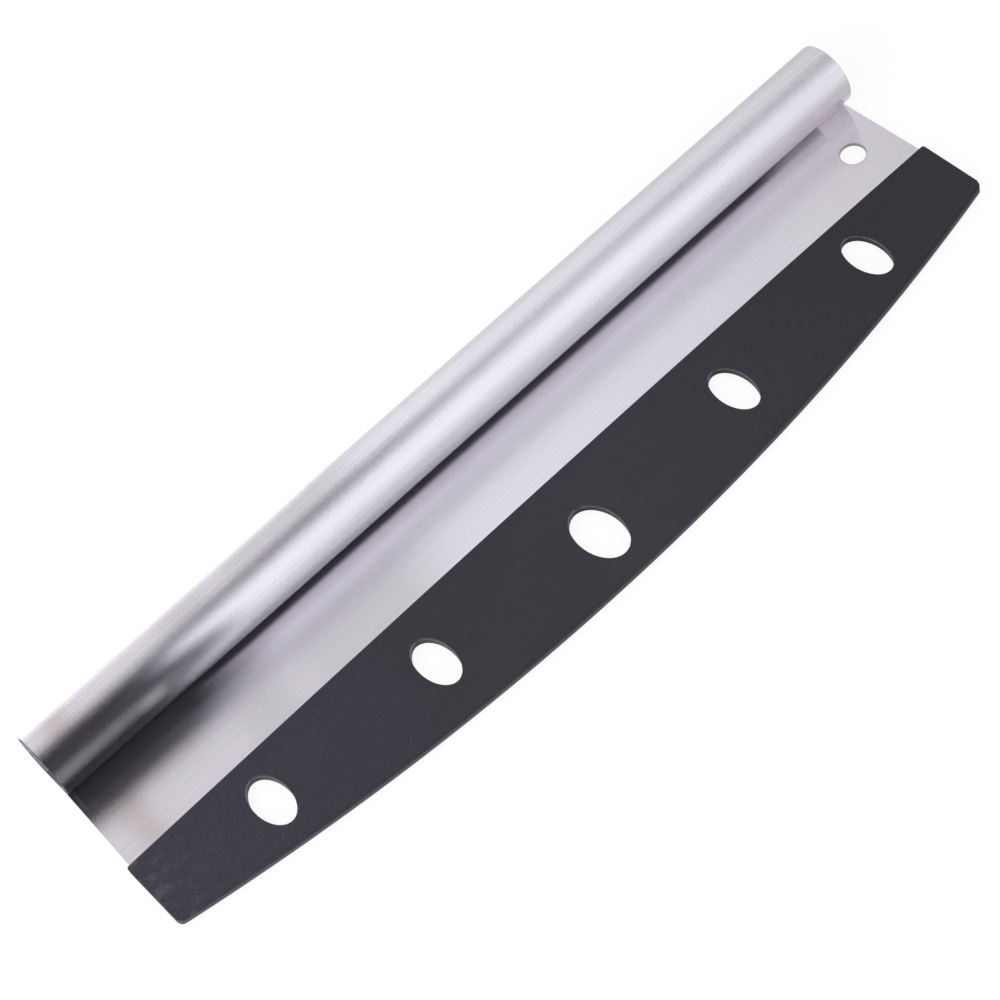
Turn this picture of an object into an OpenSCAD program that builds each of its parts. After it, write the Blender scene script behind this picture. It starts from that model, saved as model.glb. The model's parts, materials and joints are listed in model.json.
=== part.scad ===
// Rocking pizza cutter: a long blade with a tubular handle, in a slide-on cover.
// It lies flat on the back of its cover. X runs along the blade, the handle is at +Y and Z is up.
// The origin is the middle of the footprint, on the surface under the cover.
// A reach is a distance from the axis of the handle towards the cutting edge.

/* [Handle] */
// Outer diameter of the handle tube
handle_d = 23.4; // [16:0.2:32]
// Wall of the handle tube
handle_wall = 1.2; // [0.8:0.1:2]
// Length of the handle tube and of the blade's root
handle_length = 352; // [320:1:400]
// Width of each lip of the slit tube that sits on the blade
lip_w = 1.6; // [0.8:0.1:2.4]

/* [Blade] */
// How far each end of the blade flares out past the handle
blade_flare = 1.2; // [0:0.1:6]
// Thickness of the blade's sheet
blade_t = 1.2; // [1:0.1:2]
// Reach of the middle of the cutting edge
blade_reach = 84.8; // [70:0.2:120]
// How far before the cover's mouth the flared ends turn straight
flare_margin = 1.5; // [0.5:0.1:10]
// Radius of the curve of the cutting edge
edge_radius = 874.5; // [800:0.5:2000]
// Radius of the blade's lower corners
blade_corner_r = 8; // [3:0.5:12]
// Width of the ground bevel on each side
bevel_w = 2.6; // [1:0.1:4]
// Thickness left at the cutting edge
edge_t = 0.3; // [0.2:0.05:0.6]
// Border of the blade that shows behind the tube
border_w = 1.4; // [1.3:0.1:3]
// Leg of the weld bead along that border
weld_leg = 1.2; // [0.6:0.1:1.3]

/* [Hanging hole] */
// Diameter of the hanging hole
hang_d = 9; // [4:0.5:12]
// Distance of the hanging hole from the end of the handle
hang_inset = 14.2; // [8:0.2:60]
// Reach of the hanging hole
hang_reach = 24.8; // [20:0.2:32]

/* [Windows] */
// Distance along the blade from one window to the next
window_pitch = 66.5; // [40:0.5:72]
// Width of the four side windows
window_w = 12.6; // [6:0.2:24]
// Height of the four side windows
window_h = 20.8; // [8:0.2:22]
// Width of the middle window
middle_window_w = 15.8; // [6:0.2:30]
// Height of the middle window
middle_window_h = 24.1; // [8:0.1:28]
// Rise of the two outer windows above the lowest point of the cutting edge
outer_window_rise = 26.8; // [25:0.2:31]
// Rise of the two inner windows above the lowest point of the cutting edge
inner_window_rise = 23.6; // [19:0.2:29]
// Rise of the middle window above the lowest point of the cutting edge
middle_window_rise = 18.4; // [17:0.2:27]

/* [Cover] */
// Wall of the cover on each face of the blade
cover_wall = 1.1; // [0.8:0.1:2]
// Gap between each face of the blade and the cover
face_gap = 0.1; // [0.05:0.01:0.3]
// Gap between the outline of the blade and the slot
edge_gap = 0.3; // [0.1:0.05:1]
// Wall of the cover past each end of the blade
end_wall = 1; // [0.6:0.1:3]
// Wall of the cover below the cutting edge
edge_wall = 1.2; // [0.8:0.1:3]
// Radius of the cover's lower corners
cover_corner_r = 3.4; // [1:0.1:8]
// Depth of the cover, from the ends of its mouth to its lowest point
cover_depth = 44.8; // [43:0.1:56]
// Rise of the mouth in the middle
mouth_crown = 1.4; // [0.4:0.1:2]
// Width of the lowered rim along the curved edge
rim_w = 2; // [1.3:0.1:3]
// Depth of the step between the cover's face and the rim
rim_step = 0.3; // [0.1:0.05:0.5]
// Rounding of the rim's two edges
rim_r = 1.1; // [0.3:0.1:1.2]

/* [Hidden] */
$fn = 256;
// Segments of a curved edge, a corner, the mouth and a window
edge_steps = 48;
corner_steps = 8;
mouth_steps = 24;
oval_steps = 48;
// How far a cut runs past the surface that it opens
past = 1;

handle_r = handle_d / 2;
cover_reach = blade_reach + edge_gap + edge_wall;
mouth_reach = cover_reach - cover_depth;
axis_y = (cover_reach - handle_r) / 2;
edge_y = axis_y - blade_reach;
slot_t = blade_t + 2 * face_gap;
cover_t = slot_t + 2 * cover_wall;
blade_z = cover_wall + face_gap;
seat_z = blade_z + blade_t;
axis_z = blade_z + handle_r;
// Half the width of the flat that the plane of the blade cuts from the tube
seat_half = sqrt(pow(handle_r, 2) - pow(axis_z - seat_z, 2));
root_half = handle_length / 2;
blade_half = root_half + blade_flare;
slot_half = blade_half + edge_gap;
cover_half = slot_half + end_wall;

// Points on a circle about c from angle a to angle b, without the last one
function arc(c, r, a, b, steps) =
    [for (i = [0 : steps - 1]) let (t = a + (b - a) * i / steps) c + r * [cos(t), sin(t)]];

// Points of an oval of width w and height h
function oval(w, h) =
    [for (i = [0 : oval_steps - 1]) let (t = 360 * i / oval_steps) [w * cos(t), h * sin(t)] / 2];

// The lower edge of a blade-like outline, from its right side round to its left side
function lower_edge(half, reach, r_edge, r_corner) =
    let (
        centre_y = axis_y - reach + r_edge,
        corner = [half - r_corner,
            centre_y - sqrt(pow(r_edge - r_corner, 2) - pow(half - r_corner, 2))],
        turn = atan2(corner.y - centre_y, corner.x)
    )
    concat(
        arc(corner, r_corner, 0, turn, corner_steps),
        arc([0, centre_y], r_edge, turn, -180 - turn, edge_steps),
        arc([-corner.x, corner.y], r_corner, -180 - turn, -180, corner_steps),
        [[-half, corner.y]]
    );

// The mouth of the cover, from its left end over the crown to its right end
function mouth_edge() =
    let (
        r = (pow(cover_half, 2) + pow(mouth_crown, 2)) / (2 * mouth_crown),
        start = acos(cover_half / r)
    )
    concat(
        arc([0, axis_y - mouth_reach + mouth_crown - r], r, 180 - start, start, mouth_steps),
        [[cover_half, axis_y - mouth_reach]]
    );

// Turns a profile of radius and height about the centre of a curved edge
module around_edge(reach, r_edge) {
    translate([0, axis_y - reach + r_edge, 0])
        rotate_extrude($fn = 360)
            children();
}

// The five window openings
module window_outlines() {
    translate([0, edge_y + middle_window_rise])
        polygon(oval(middle_window_w, middle_window_h));
    for (side = [-1, 1]) {
        translate([side * window_pitch, edge_y + inner_window_rise])
            polygon(oval(window_w, window_h));
        translate([side * 2 * window_pitch, edge_y + outer_window_rise])
            polygon(oval(window_w, window_h));
    }
}

// What the grinder takes off one side of the cutting edge
module bevel_cut() {
    fall = (blade_t - edge_t) / 2 / bevel_w;
    around_edge(blade_reach, edge_radius)
        polygon([
            [edge_radius - bevel_w, blade_t / 2],
            [edge_radius + past, blade_t / 2 - fall * (bevel_w + past)],
            [edge_radius + past, blade_t],
            [edge_radius - bevel_w, blade_t]
        ]);
}

// One sheet: square under the handle, flared to the cover's mouth, curved at the cutting edge
module blade() {
    color([0.82, 0.81, 0.83])
    translate([0, 0, blade_z + blade_t / 2])
        difference() {
            linear_extrude(blade_t, center = true)
                difference() {
                    polygon(concat(
                        lower_edge(blade_half, blade_reach, edge_radius, blade_corner_r),
                        [
                            [-blade_half, axis_y - mouth_reach + flare_margin],
                            [-root_half, axis_y - seat_half],
                            [-root_half, axis_y + seat_half + border_w],
                            [root_half, axis_y + seat_half + border_w],
                            [root_half, axis_y - seat_half],
                            [blade_half, axis_y - mouth_reach + flare_margin]
                        ]
                    ));
                    window_outlines();
                }
            translate([root_half - hang_inset, axis_y - hang_reach, 0])
                cylinder(h = blade_t + 2 * past, d = hang_d, center = true);
            bevel_cut();
            mirror([0, 0, 1])
                bevel_cut();
        }
}

// Tube slit along its back, whose two lips sit flat on the border of the blade
module handle_tube() {
    slit_w = 2 * (seat_half - lip_w);
    color([0.86, 0.85, 0.88])
    difference() {
        translate([0, axis_y, axis_z])
            rotate([0, 90, 0])
                difference() {
                    cylinder(h = handle_length, r = handle_r, center = true);
                    cylinder(h = handle_length + 2 * past, r = handle_r - handle_wall, center = true);
                }
        translate([-root_half - past, axis_y - handle_r, 0])
            cube([handle_length + 2 * past, handle_d, seat_z]);
        translate([-root_half - past, axis_y - slit_w / 2, 0])
            cube([handle_length + 2 * past, slit_w, axis_z]);
    }
}

// Fillet bead between the tube and the border of the blade, along the side that faces away
module seam_weld() {
    lip_y = axis_y + seat_half;
    color([0.62, 0.61, 0.62])
    difference() {
        rotate([90, 0, 90])
            linear_extrude(handle_length, center = true)
                polygon([
                    [lip_y - past, seat_z],
                    [lip_y + weld_leg, seat_z],
                    [lip_y + weld_leg / 2, seat_z + weld_leg]
                ]);
        translate([0, axis_y, axis_z])
            rotate([0, 90, 0])
                cylinder(h = handle_length + 2 * past, r = handle_r, center = true);
    }
}

// What lowers and rounds the cover's curved edge on its upper face
module rim_cut() {
    r_edge = edge_radius + edge_gap + edge_wall;
    top = cover_t / 2 - rim_step;
    // The rounding ends at this angle, a little inside the edge
    last = 15;
    around_edge(cover_reach, r_edge)
        polygon(concat(
            [[r_edge - rim_w, cover_t], [r_edge - rim_w, top]],
            arc([r_edge - rim_r, top - rim_r], rim_r, 90, last, corner_steps),
            [
                [r_edge - rim_r * (1 - cos(last)), top - rim_r * (1 - sin(last))],
                [r_edge + past, top - rim_r * (1 - sin(last))],
                [r_edge + past, cover_t]
            ]
        ));
}

// Flat sheath with a closed curved edge and an open mouth that the blade slides out of
module blade_cover() {
    color([0.23, 0.22, 0.25])
    translate([0, 0, cover_t / 2])
        difference() {
            linear_extrude(cover_t, center = true)
                difference() {
                    polygon(concat(
                        lower_edge(cover_half, cover_reach, edge_radius + edge_gap + edge_wall,
                            cover_corner_r),
                        mouth_edge()
                    ));
                    window_outlines();
                }
            linear_extrude(slot_t, center = true)
                polygon(concat(
                    lower_edge(slot_half, blade_reach + edge_gap, edge_radius + edge_gap,
                        blade_corner_r + edge_gap),
                    [[-slot_half, axis_y], [slot_half, axis_y]]
                ));
            rim_cut();
            mirror([0, 0, 1])
                rim_cut();
        }
}

blade();
handle_tube();
seam_weld();
blade_cover();
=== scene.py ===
import json
import math

import bmesh
import bpy
from mathutils import Matrix, Quaternion, Vector


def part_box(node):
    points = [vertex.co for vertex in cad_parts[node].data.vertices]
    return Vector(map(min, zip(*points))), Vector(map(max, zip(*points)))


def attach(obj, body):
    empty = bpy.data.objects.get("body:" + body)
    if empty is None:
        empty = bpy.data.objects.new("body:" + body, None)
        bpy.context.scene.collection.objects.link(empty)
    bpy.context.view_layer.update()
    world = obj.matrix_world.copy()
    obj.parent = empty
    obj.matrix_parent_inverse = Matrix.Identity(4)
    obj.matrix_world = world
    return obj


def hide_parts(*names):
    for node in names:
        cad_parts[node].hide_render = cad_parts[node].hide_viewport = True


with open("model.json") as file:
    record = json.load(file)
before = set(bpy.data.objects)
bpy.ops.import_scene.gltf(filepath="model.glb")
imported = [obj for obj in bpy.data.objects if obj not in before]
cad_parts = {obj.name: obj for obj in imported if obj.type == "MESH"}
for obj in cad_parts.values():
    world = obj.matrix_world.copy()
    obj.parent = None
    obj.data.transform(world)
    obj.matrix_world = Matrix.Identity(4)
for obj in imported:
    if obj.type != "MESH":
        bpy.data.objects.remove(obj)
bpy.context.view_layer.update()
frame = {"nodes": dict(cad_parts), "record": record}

# Camera
# The photograph was taken from beyond the left end of the cutter, from the side of its cutting
# edge, looking down at it with a long lens.
camera_at = Vector((-0.2145, -0.4038, 0.6909))
camera_aim = Vector((-0.0130, 0.0038, 0.0036))
camera_roll = math.radians(-19.683)
camera_lens = 92.22
camera = bpy.data.objects.new("camera", bpy.data.cameras.new("camera"))
camera.data.sensor_width = 36
camera.data.lens = camera_lens
camera.data.clip_start = 0.01
camera.location = camera_at
camera.rotation_mode = "QUATERNION"
camera.rotation_quaternion = (
    (camera_aim - camera_at).to_track_quat("-Z", "Y") @ Quaternion((0, 0, 1), camera_roll)
)
bpy.context.collection.objects.link(camera)
bpy.context.scene.camera = camera


# Blade
# One sheet of stainless steel, 1.2 mm thick, blanked with its windows and its hanging hole,
# brushed along its length and ground on both sides of the curved edge. The copy of the packed
# solid gets the slight rounding that the tumbler leaves on every cut edge.
class Signal:
    """One output of a node. Python's operators on it add Math nodes."""

    def __init__(self, finish, node, output=0):
        self.finish = finish
        self.node = node
        self.output = output

    def __getitem__(self, output):
        return Signal(self.finish, self.node, output)

    def maths(self, operation, first, second):
        return self.finish.add("ShaderNodeMath", {"operation": operation}, {0: first, 1: second})

    def __add__(self, other):
        return self.maths("ADD", self, other)

    def __radd__(self, other):
        return self.maths("ADD", other, self)

    def __sub__(self, other):
        return self.maths("SUBTRACT", self, other)

    def __rsub__(self, other):
        return self.maths("SUBTRACT", other, self)

    def __mul__(self, other):
        return self.maths("MULTIPLY", self, other)

    def __rmul__(self, other):
        return self.maths("MULTIPLY", other, self)

    def __abs__(self):
        return self.maths("ABSOLUTE", self, 0.0)


class Finish:
    """The nodes of one material or of the world."""

    def __init__(self, owner):
        owner.use_nodes = True
        self.tree = owner.node_tree
        self.tree.nodes.clear()

    def add(self, kind, settings=None, inputs=None):
        node = self.tree.nodes.new(kind)
        for name, value in (settings or {}).items():
            setattr(node, name, value)
        for socket, value in (inputs or {}).items():
            if isinstance(value, Signal):
                self.tree.links.new(value.node.outputs[value.output], node.inputs[socket])
            else:
                node.inputs[socket].default_value = value
        return Signal(self, node)

    def step(self, value, low, high):
        """From 0 at low to 1 at high, eased at both ends."""
        return self.add(
            "ShaderNodeMapRange",
            {"interpolation_type": "SMOOTHSTEP"},
            {"Value": value, "From Min": low, "From Max": high},
        )

    def band(self, value, start, end):
        """1 from start to end, which are each a pair of places that it changes between."""
        return self.step(value, *start) * (1 - self.step(value, *end))

    def larger(self, first, second):
        return self.add("ShaderNodeMath", {"operation": "MAXIMUM"}, {0: first, 1: second})

    def blend(self, factor, first, second):
        """A colour between two colours."""
        mix = self.add("ShaderNodeMix", {"data_type": "RGBA"}, {0: factor, 6: first, 7: second})
        return mix[2]

    def split(self, vector):
        """A vector's parts, by the names X, Y and Z."""
        return self.add("ShaderNodeSeparateXYZ", None, {0: vector})

    def place(self):
        """The point on the piece, in metres."""
        return self.add("ShaderNodeTexCoord")["Object"]

    def noise(self, scale, detail=2.0, roughness=0.5, offset=(0, 0, 0)):
        """Noise on the piece's own coordinates, with its own scale along X, Y and Z."""
        place = self.add("ShaderNodeMapping", None, {0: self.place(), 1: offset, 3: scale})
        return self.add(
            "ShaderNodeTexNoise",
            None,
            {"Vector": place, "Scale": 1.0, "Detail": detail, "Roughness": roughness},
        )

    def bump(self, height, distance):
        return self.add("ShaderNodeBump", None, {"Height": height, "Distance": distance})

    def slant(self, axis):
        """How squarely a face looks along an axis: 1 along it, 0 across it."""
        return abs(self.split(self.add("ShaderNodeNewGeometry")["True Normal"])[axis])

    def vector(self, operation, first, second):
        return self.add("ShaderNodeVectorMath", {"operation": operation}, {0: first, 1: second})

    def distance(self, first, second):
        return self.vector("DISTANCE", first, second)["Value"]

    def scaled(self, vector, factor):
        return self.add("ShaderNodeVectorMath", {"operation": "SCALE"}, {0: vector, "Scale": factor})

    def brushed(self, slope):
        """The surface's normal, leant across brush marks that run along X."""
        normal = self.add("ShaderNodeNewGeometry")["Normal"]
        lean = self.scaled(self.vector("CROSS_PRODUCT", (1, 0, 0), normal), slope)
        return self.vector("NORMALIZE", self.vector("ADD", normal, lean), (0, 0, 0))

    def surface(self, **inputs):
        """The Principled shader, joined to the output. A name's low line stands for a space."""
        named = {name.replace("_", " "): value for name, value in inputs.items()}
        shader = self.add("ShaderNodeBsdfPrincipled", None, named)
        self.add("ShaderNodeOutputMaterial", None, {"Surface": shader})


def brushed_steel(name, pale, lean, bow, cut_and_shade, polish_and_shade, painted_sheen, matt):
    """Stainless steel with brush marks along X, which spread what it mirrors across them.

    Of its masks, the first is 1 where the metal was sheared or sawn, and it carries painted shade
    on the blade's edges under the sheath. The second is 1 where the steel is darker and rougher:
    dark polish round the hanging hole, and painted shade in the crease under the handle and over
    its left end. The third is 1 where the handle is painted lighter, as a painted sheen, and the
    fourth is 1 where the metal stays as drawn. Lean is how steep the marks are, and bow is how far
    the sheet as a whole leans towards the handle."""
    material = bpy.data.materials.new(name)
    finish = Finish(material)
    cut_and_shade = cut_and_shade(finish)
    polish_and_shade = polish_and_shade(finish)
    # Pale tone for the painted sheen on the handle's lower side
    painted_sheen_tone = (0.93, 0.90, 0.94, 1)
    # Dark tone of the cut edges, which under the sheath is also painted shade
    cut_and_shade_tone = (0.06, 0.057, 0.064, 1)
    # Dark tone for the polish round the hanging hole, and for the painted shade in the handle's
    # crease
    polish_and_shade_tone = (0.13, 0.125, 0.138, 1)
    marks = finish.noise((30000, 60000, 60000), 0.0)
    streak = finish.noise((14, 1400, 1400), 1.0, 0.5, (3, 1, 2))
    cloud = finish.noise((18, 30, 30), 3.0, 0.6, (7, 5, 4))
    tone = finish.step(streak * 0.6 + cloud * 0.4, 0.36, 0.64)
    deep = tuple(0.955 * part for part in pale)
    steel = finish.blend(tone, (*pale, 1), (*deep, 1))
    steel = finish.blend(painted_sheen(finish), steel, painted_sheen_tone)
    steel = finish.blend(cut_and_shade, steel, cut_and_shade_tone)
    finish.surface(
        Base_Color=finish.blend(polish_and_shade, steel, polish_and_shade_tone),
        Metallic=1.0,
        Roughness=0.03 + 0.03 * streak + 0.02 * cloud + 0.3 * polish_and_shade + 0.4 * (cut_and_shade + matt(finish)),
        Normal=finish.brushed((marks - 0.5) * lean + (streak - 0.5) * 0.05 * lean - bow),
    )
    return material


same_point = 2e-6
flat_angle = math.radians(0.1)
sharp_angle = math.radians(30)
corner_radius = 0.0009
corner_segments = 5


def level_faces(piece):
    """Large flat faces stay flat up to their rounded edges, so that they mirror evenly."""
    level = piece.modifiers.new("level faces", "WEIGHTED_NORMAL")
    level.weight = 100
    level.keep_sharp = True


def eased_copy(node, piece_name, body, radius, corners=None):
    """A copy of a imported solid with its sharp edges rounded, standing for that solid.

    Corners picks the edges that get the larger rounding, of corner_radius."""
    mesh = frame["nodes"][node].data.copy()
    mesh.name = piece_name
    solid = bmesh.new()
    solid.from_mesh(mesh)
    bmesh.ops.remove_doubles(solid, verts=solid.verts, dist=same_point)
    bmesh.ops.dissolve_limit(
        solid, angle_limit=flat_angle, verts=solid.verts, edges=solid.edges
    )
    if corners:
        bmesh.ops.bevel(
            solid,
            geom=[edge for edge in solid.edges if corners(edge)],
            affect="EDGES",
            offset=corner_radius,
            segments=corner_segments,
            profile=0.5,
            material=-1,
        )
    for face in solid.faces:
        face.smooth = True
    solid.to_mesh(mesh)
    solid.free()
    mesh.set_sharp_from_angle(angle=sharp_angle)
    mesh.materials.clear()
    piece = bpy.data.objects.new(piece_name, mesh)
    bpy.context.collection.objects.link(piece)
    ease = piece.modifiers.new("eased edges", "BEVEL")
    ease.width = radius
    ease.segments = 2
    ease.limit_method = "ANGLE"
    ease.angle_limit = sharp_angle
    level_faces(piece)
    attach(piece, body)
    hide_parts(node)
    return piece


def sheared_and_shaded(finish):
    """The cut edges, darker than the brushed faces. Those under the sheath, the windows' among them,
    are darker still, as painted shade from the sheath round them.
    """
    place = finish.split(finish.place())
    edge = 1 - finish.step(finish.slant("Z"), 0.3, 0.7)
    return edge * (0.35 + 0.65 * finish.step(place["Y"], 0.002, -0.002))


def hole_ring(finish):
    """The line of dark polish that stays round the hanging hole."""
    away = finish.distance(finish.place(), hang_hole)
    return 0.4 * (1 - finish.step(away, 0.0047, 0.0050))


def nowhere(finish):
    """For a finish that the piece doesn't have."""
    return 0.0


hang_hole = next(m["pos_m"] for m in frame["record"]["mounts"] if m["name"] == "hang_hole")
blade = eased_copy("blade", "pierced_blade", "cutter", 0.00008)
blade.data.materials.append(
    brushed_steel(
        "blade_steel",
        pale=(0.660, 0.637, 0.668),
        lean=0.48,
        bow=0.065,
        cut_and_shade=sheared_and_shaded,
        polish_and_shade=hole_ring,
        painted_sheen=nowhere,
        matt=nowhere,
    )
)


# Handle tube
# Stainless tube, 23.4 mm across with a wall of 1.2 mm, slit along its back. Its lips are cut
# flat where they sit on the blade. It is sawn square, and both rims are deburred.
handle_low, handle_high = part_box("handle_tube")
sheet_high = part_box("blade")[1]
handle_wall = 0.0012
handle_rim = 0.00012
handle_facets = 128
handle_radius = (handle_high.y - handle_low.y) / 2
handle_axis = Vector((0, handle_high.y - handle_radius, handle_high.z - handle_radius))
lip_angle = math.radians(22)
lip_drop = Vector((0, math.sin(lip_angle), -math.cos(lip_angle)))
tube = bmesh.new()
outer = tube.verts.new(handle_axis + lip_drop * handle_radius + Vector((handle_low.x, 0, 0)))
inner = tube.verts.new(
    handle_axis + lip_drop * (handle_radius - handle_wall) + Vector((handle_low.x, 0, 0))
)
tube.edges.new((inner, outer))
wall = bmesh.ops.extrude_edge_only(tube, edges=tube.edges[:])
lip = [item for item in wall["geom"] if isinstance(item, bmesh.types.BMVert)]
bmesh.ops.translate(tube, verts=lip, vec=(handle_high.x - handle_low.x, 0, 0))
bmesh.ops.spin(
    tube,
    geom=tube.verts[:] + tube.edges[:] + tube.faces[:],
    cent=handle_axis,
    axis=(1, 0, 0),
    angle=2 * math.pi - 2 * lip_angle,
    steps=handle_facets,
)
bmesh.ops.bisect_plane(
    tube,
    geom=tube.verts[:] + tube.edges[:] + tube.faces[:],
    plane_co=(0, 0, sheet_high.z),
    plane_no=(0, 0, -1),
    clear_outer=True,
)
bmesh.ops.holes_fill(tube, edges=[edge for edge in tube.edges if edge.is_boundary])
bmesh.ops.remove_doubles(tube, verts=tube.verts, dist=same_point)
bmesh.ops.recalc_face_normals(tube, faces=tube.faces)
for face in tube.faces:
    face.smooth = True
handle = bpy.data.objects.new("handle", bpy.data.meshes.new("handle"))
tube.to_mesh(handle.data)
tube.free()
handle.data.set_sharp_from_angle(angle=sharp_angle)
bpy.context.collection.objects.link(handle)
deburr = handle.modifiers.new("deburred rims", "BEVEL")
deburr.width = handle_rim
deburr.segments = 3
deburr.limit_method = "ANGLE"
deburr.angle_limit = sharp_angle
level_faces(handle)


# From where to where along the handle its last stretch begins, at the right end
last_stretch = (0.1625, 0.1640)


def sawn(finish):
    """The two rims, which face along X."""
    return finish.step(finish.slant("X"), 0.05, 0.25)


def crease_shade(finish):
    """Painted shade under the handle, close to the blade, and higher up at its left end. It is
    weaker towards the right, and there is none over a last stretch at either end.
    """
    place = finish.split(finish.place())
    fade = 1 - 0.55 * finish.step(place["X"], 0.128, 0.152)
    fade = fade * finish.band(place["X"], (-0.1755, -0.1738), last_stretch)
    low = finish.step(place["Z"], 0.0055, 0.0042)
    left = finish.step(place["Z"], 0.0098, 0.0080) * finish.step(place["X"], -0.105, -0.128)
    return fade * finish.larger(low, left)


def painted_sheen_below(finish):
    """A painted sheen on the lower side of the handle, strongest close to the blade over its last
    stretch at the right end.
    """
    place = finish.split(finish.place())
    lower = 0.45 * finish.step(place["Z"], 0.0125, 0.0095)
    last = finish.step(place["Z"], 0.0078, 0.0060) * finish.step(place["X"], *last_stretch)
    return finish.larger(lower, last)


def bore(finish):
    """The inside of the tube, by its distance from the handle's axis."""
    across = finish.vector("MULTIPLY", finish.place(), (0, 1, 1))
    away = finish.distance(across, handle_axis)
    return 1 - finish.step(away, handle_radius - 0.0009, handle_radius - 0.0004)


handle.data.materials.append(
    brushed_steel(
        "handle_steel",
        pale=(0.700, 0.676, 0.710),
        lean=1.05,
        bow=0.0,
        cut_and_shade=sawn,
        polish_and_shade=crease_shade,
        painted_sheen=painted_sheen_below,
        matt=bore,
    )
)
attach(handle, "cutter")
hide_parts("handle_tube")


# Seam weld
# One run of weld along the border of the blade, on the side that faces away. It is left as
# welded, so it is dull, with a ripple about every 1.5 mm.
def weld_metal():
    material = bpy.data.materials.new("weld_metal")
    finish = Finish(material)
    ripple = finish.add(
        "ShaderNodeTexWave",
        {"bands_direction": "X", "wave_profile": "SIN"},
        {"Vector": finish.place(), "Scale": 210.0, "Distortion": 2.0, "Detail": 2.0},
    )["Fac"]
    heat = finish.noise((60, 60, 60), 3.0, 0.6)
    finish.surface(
        Base_Color=finish.blend(heat, (0.46, 0.42, 0.38, 1), (0.30, 0.30, 0.34, 1)),
        Metallic=1.0,
        Roughness=0.32 + 0.2 * heat,
        Normal=finish.bump(ripple, 0.00015),
    )
    return material


bead = eased_copy("seam_weld", "weld_bead", "cutter", 0.0001)
bead.data.materials.append(weld_metal())


# Blade cover
# Moulded plastic sheath, 3.6 mm thick over the blade, charcoal black with a fine matte grain.
# It has five windows, an open mouth and a lowered rim, and it is only pushed onto the blade.
cover_low, cover_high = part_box("blade_cover")
rim_sweep = 0.876
rim_centre = (0, cover_low.y + rim_sweep, (cover_low.z + cover_high.z) / 2)
# The two rounded corners are found by how near the mouth and the ends their edges lie, and by
# how tall these edges are at least
mouth_corner = 0.0016
end_slack = 1e-5
mouth_wall = 0.003


def charcoal_plastic():
    material = bpy.data.materials.new("charcoal_plastic")
    finish = Finish(material)
    patches = ((0.0200, 0.0185, 0.0265, 1), (0.0245, 0.0230, 0.0320, 1))
    shaded_right_end = (0.0115, 0.0105, 0.0165, 1)
    lit_left_end = (0.0265, 0.0250, 0.0400, 1)
    shaded_walls = (0.008, 0.0075, 0.0105, 1)
    rim_sheen = (0.028, 0.0265, 0.034, 1)
    border_sheen = (0.085, 0.082, 0.096, 1)
    scuff = (0.064, 0.067, 0.090, 1)
    pale_dust = (0.080, 0.079, 0.096, 1)
    place = finish.split(finish.place())
    grain = finish.noise((2200, 2200, 2200), 2.0, 0.5)
    cloud = finish.noise((22, 40, 40), 4.0, 0.6)
    dust = finish.step(finish.noise((1300, 1300, 1300), 1.0, 0.5, (2, 3, 5)), 0.59, 0.75)
    rubs = finish.noise((150, 240, 240), 4.0, 0.7, (4, 1, 6))
    mottle = finish.noise((450, 450, 450), 3.0, 0.7, (9, 2, 7))
    # The rim's slope and its outer border are painted paler, as a painted sheen, and the left end is
    # scuffed
    from_centre = finish.distance(finish.place(), rim_centre)
    steep = 1 - finish.step(finish.slant("Z"), 0.35, 0.95)
    rim = finish.step(from_centre, rim_sweep - 0.0016, rim_sweep - 0.0010)
    border = finish.step(from_centre, rim_sweep - 0.0004, rim_sweep - 0.0001)
    scuffed = finish.step(rubs, 0.48, 0.70) * finish.step(place["X"], -0.157, -0.176)
    dusted = dust * (0.05 + 0.17 * finish.step(place["X"], -0.02, -0.16))
    tone = finish.blend(finish.step(cloud, 0.35, 0.65), *patches)
    # Painted light and shade: the cover is painted lighter towards its left end and darker towards
    # its right
    tone = finish.blend(finish.step(place["X"], 0.00, 0.17), tone, shaded_right_end)
    tone = finish.blend(finish.step(place["X"], -0.06, -0.165), tone, lit_left_end)
    # Painted shade: the steep walls, but for the rim, are painted near black
    tone = finish.blend(steep * (1 - rim), tone, shaded_walls)
    # Painted sheen on the rim's slope and, lighter still, on its outer border
    tone = finish.blend(steep * rim, tone, rim_sheen)
    tone = finish.blend(0.5 * steep * border, tone, border_sheen)
    tone = finish.blend(0.8 * scuffed, tone, scuff)
    tone = finish.scaled(tone, 0.68 + 0.60 * mottle)
    finish.surface(
        Base_Color=finish.blend(dusted, tone, pale_dust),
        Roughness=0.46 + 0.12 * cloud,
        Specular_IOR_Level=0.40,
        Normal=finish.bump(grain, 0.00004),
    )
    return material


def mouth_corners(edge):
    """The upright edges at the two ends of the mouth."""
    ends = [corner.co for corner in edge.verts]
    outermost = all(abs(end.x) > cover_high.x - end_slack for end in ends)
    at_mouth = all(end.y > cover_high.y - mouth_corner for end in ends)
    upright = abs(ends[0].z - ends[1].z) > mouth_wall
    return outermost and at_mouth and upright


cover = eased_copy("blade_cover", "cover", "cover", 0.00018, mouth_corners)
cover.data.materials.append(charcoal_plastic())
# Brushed steel is too matt to show the dark cover, so its reflections pass the cover by
cover.visible_glossy = False


# Studio
# A white table in a bright room: a lit wall beyond the handle, a big soft light on the camera's
# side, and a dark stretch left of that light, which the left end of the handle mirrors.
table_glow = 1.04


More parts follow.
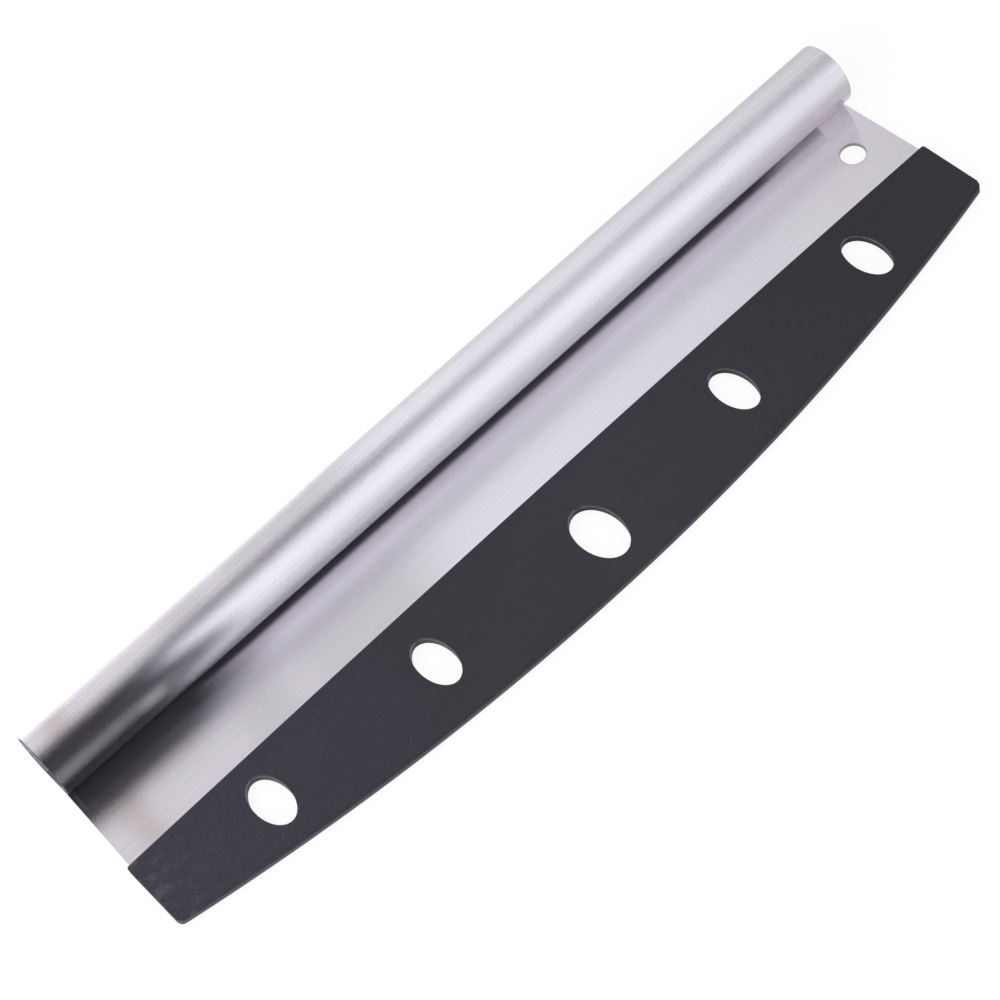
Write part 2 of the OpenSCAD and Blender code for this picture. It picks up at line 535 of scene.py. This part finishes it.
def white_table():
    """White to the camera, and brighter or darker from place to place where the steel mirrors it."""
    material = bpy.data.materials.new("white_table")
    finish = Finish(material)
    rays = finish.add("ShaderNodeLightPath")
    place = finish.split(finish.place())
    left = 1 - finish.step(place["X"], -0.07, -0.03)
    fade = 0.95 - 1.2 * place["X"] + left * (0.15 + 0.25 * finish.step(place["Y"], 0.0, 0.05))
    fade = finish.add("ShaderNodeClamp", None, {0: fade, 1: 0.7, 2: 1.65})
    edge = place["X"] + 0.115 + 0.14 * (place["Y"] - 0.037)
    shade = finish.step(place["Y"] * -1.0, 0.055, 0.085) * (1 - finish.step(edge, -0.01, 0.02))
    mirrored = fade * (1 - 0.80 * shade)
    glossy = rays["Is Glossy Ray"]
    level = table_glow + glossy * (mirrored - table_glow)
    seen = finish.larger(rays["Is Camera Ray"], glossy)
    seen = finish.larger(seen, rays["Is Transmission Ray"])
    paint = finish.add("ShaderNodeBsdfDiffuse", None, {"Color": (0.9, 0.9, 0.9, 1)})
    glow = finish.add("ShaderNodeEmission", None, {"Color": (1, 1, 1, 1), "Strength": level})
    mix = finish.add("ShaderNodeMixShader", None, {0: seen * 0.85, 1: paint, 2: glow})
    finish.add("ShaderNodeOutputMaterial", None, {"Surface": mix})
    return material


table_half = 4.0
table_drop = 0.0001
table_mesh = bmesh.new()
bmesh.ops.create_grid(
    table_mesh,
    x_segments=1,
    y_segments=1,
    size=table_half,
    matrix=Matrix.Translation((0, 0, -table_drop)),
)
table = bpy.data.objects.new("table", bpy.data.meshes.new("table"))
table_mesh.to_mesh(table.data)
table_mesh.free()
table.data.materials.append(white_table())
bpy.context.collection.objects.link(table)

room = bpy.data.worlds.new("room")
bpy.context.scene.world = room
light = Finish(room)
way = light.split(light.add("ShaderNodeTexCoord")["Generated"])
# How far a direction leans towards the right end of the cutter
along = way["X"]
# The angle from straight up towards the side of the cutting edge
tilt = light.add(
    "ShaderNodeMath", {"operation": "ARCTAN2"}, {0: way["Y"] * -1.0, 1: way["Z"]}
) * (180 / math.pi)
# Two folds of shadow on the wall, which the left of the blade and of the handle mirror
first_fold = light.band(along, (0.0545, 0.0580), (0.0658, 0.0673))
second_fold = light.band(along, (0.109, 0.119), (0.130, 0.143))
wall = (
    0.92
    - 0.10 * light.step(along, 0.140, 0.153)
    + 0.27 * light.step(along, 0.190, 0.224)
    - 0.17 * light.step(along, 0.25, 0.41)
    - 0.08 * light.step(along, 0.39, 0.45)
    - 0.26 * first_fold
    - 0.13 * second_fold
)
# The dark gap overhead, where the wall ends and the lamp hasn't begun
gap = light.step(tilt - 3.0 * (1 - light.step(along, 0.124, 0.20)), -14, -4)
gap = gap * (1 - 0.22 * light.step(along, 0.20, 0.30))
wall = wall * (1 - gap * (1 - light.step(tilt, -2, 6)) - light.step(tilt, -2, 6))
# The lamp starts closer to the gap at its right end. It stops at the left, and is back further on
lamp_edge = 19 - 12 * light.step(along, 0.124, 0.334)
lamp = light.step(tilt - lamp_edge, -6, 6)
lamp_side = along - 0.035 * light.step(tilt, 30, 90)
lamp = lamp * (light.step(lamp_side, 0.096, 0.117) + 1 - light.step(along, -0.35, -0.25))
lamp = lamp * (1.20 - 0.15 * light.step(along, 0.334, 0.45))
level = wall + lamp + 0.06 + 0.03 * light.step(tilt, 30, 80)
rays = light.add("ShaderNodeLightPath")
shown = light.larger(rays["Is Camera Ray"], rays["Is Transmission Ray"])
level = shown + (1 - shown) * level
# The light is cooler on the lamp's side, violet where it is dark, and warm in the first fold
cool = light.step(tilt, -5, 5) * (1 - 0.8 * light.step(along, 0.37, 0.43))
middle = light.band(along, (0.18, 0.26), (0.33, 0.42))
cast = light.blend(middle, (1.0, 0.985, 1.02, 1), (0.98, 0.985, 1.04, 1))
cast = light.blend(cool, cast, (0.97, 0.985, 1.05, 1))
cast = light.blend(light.step(level, 0.30, 0.12), cast, (1.02, 0.94, 1.14, 1))
cast = light.blend(first_fold * light.step(tilt, -4, -14), cast, (1.06, 0.99, 0.955, 1))
cast = light.blend(shown, cast, (1, 1, 1, 1))
light.add(
    "ShaderNodeOutputWorld",
    None,
    {"Surface": light.add("ShaderNodeBackground", None, {"Color": cast, "Strength": level})},
)

side_lamp_at = Vector((-0.55, -0.15, 0.45))
side_lamp_aim = Vector((-0.1, 0, 0))
side_light = bpy.data.lights.new("side_light", "AREA")
side_light.energy = 2.0
side_light.size = 0.5
side_lamp = bpy.data.objects.new("side_lamp", side_light)
side_lamp.location = side_lamp_at
side_lamp.rotation_mode = "QUATERNION"
side_lamp.rotation_quaternion = (side_lamp_aim - side_lamp_at).to_track_quat("-Z", "Y")
side_lamp.visible_glossy = False
bpy.context.collection.objects.link(side_lamp)

bpy.context.scene.view_settings.view_transform = "Standard"
